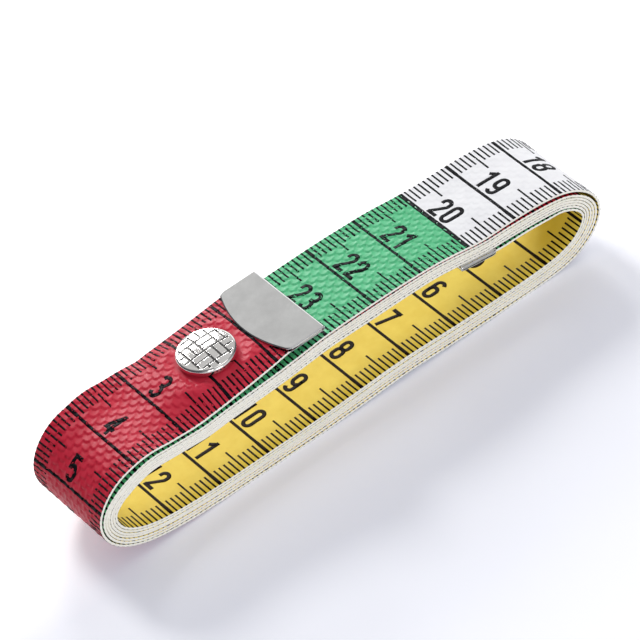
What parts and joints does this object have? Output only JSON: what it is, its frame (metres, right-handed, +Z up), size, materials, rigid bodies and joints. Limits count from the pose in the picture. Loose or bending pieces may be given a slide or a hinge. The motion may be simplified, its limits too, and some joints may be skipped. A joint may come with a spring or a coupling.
{
  "type": "cloth tape measure",
  "caption": "Flat coated tape wound into an oval coil, with a free end that peels open at a press stud and a folded metal clip on each end.",
  "frame": {"origin": "under the middle of the coil, on the surface that it lies on", "axes": "+X along the oval, from the flap's fold toward the plain end; +Y across the tape; +Z up, out of the top of the coil"},
  "size_m": [0.107, 0.0196, 0.0228],
  "materials": {
    "tape_cloth": "coated glass-fibre cloth, satin, printed on both faces",
    "tape_cloth_red": "coated glass-fibre cloth with a red printed face",
    "clip_nickel": "satin nickel-plated sheet",
    "snap_nickel": "polished nickel-plated sheet",
    "spring_wire": "bright wire"
  },
  "bodies": {
    "coil": {"tape_coil": "tape_cloth", "inner_end_clip": "clip_nickel", "snap_stud": "snap_nickel", "stud_eyelet": "snap_nickel"},
    "flap": {"tape_flap": "tape_cloth_red", "outer_end_clip": "clip_nickel", "snap_cap": "snap_nickel", "cap_post": "snap_nickel", "snap_socket": "snap_nickel", "socket_spring": "spring_wire"}
  },
  "joints": [
    {"name": "flap_peel", "type": "hinge", "parent": "coil", "child": "flap", "pos_m": [-0.04525, 0, 0.01888], "axis": [0, -1, 0], "range_deg": [0, 120]}
  ]
}
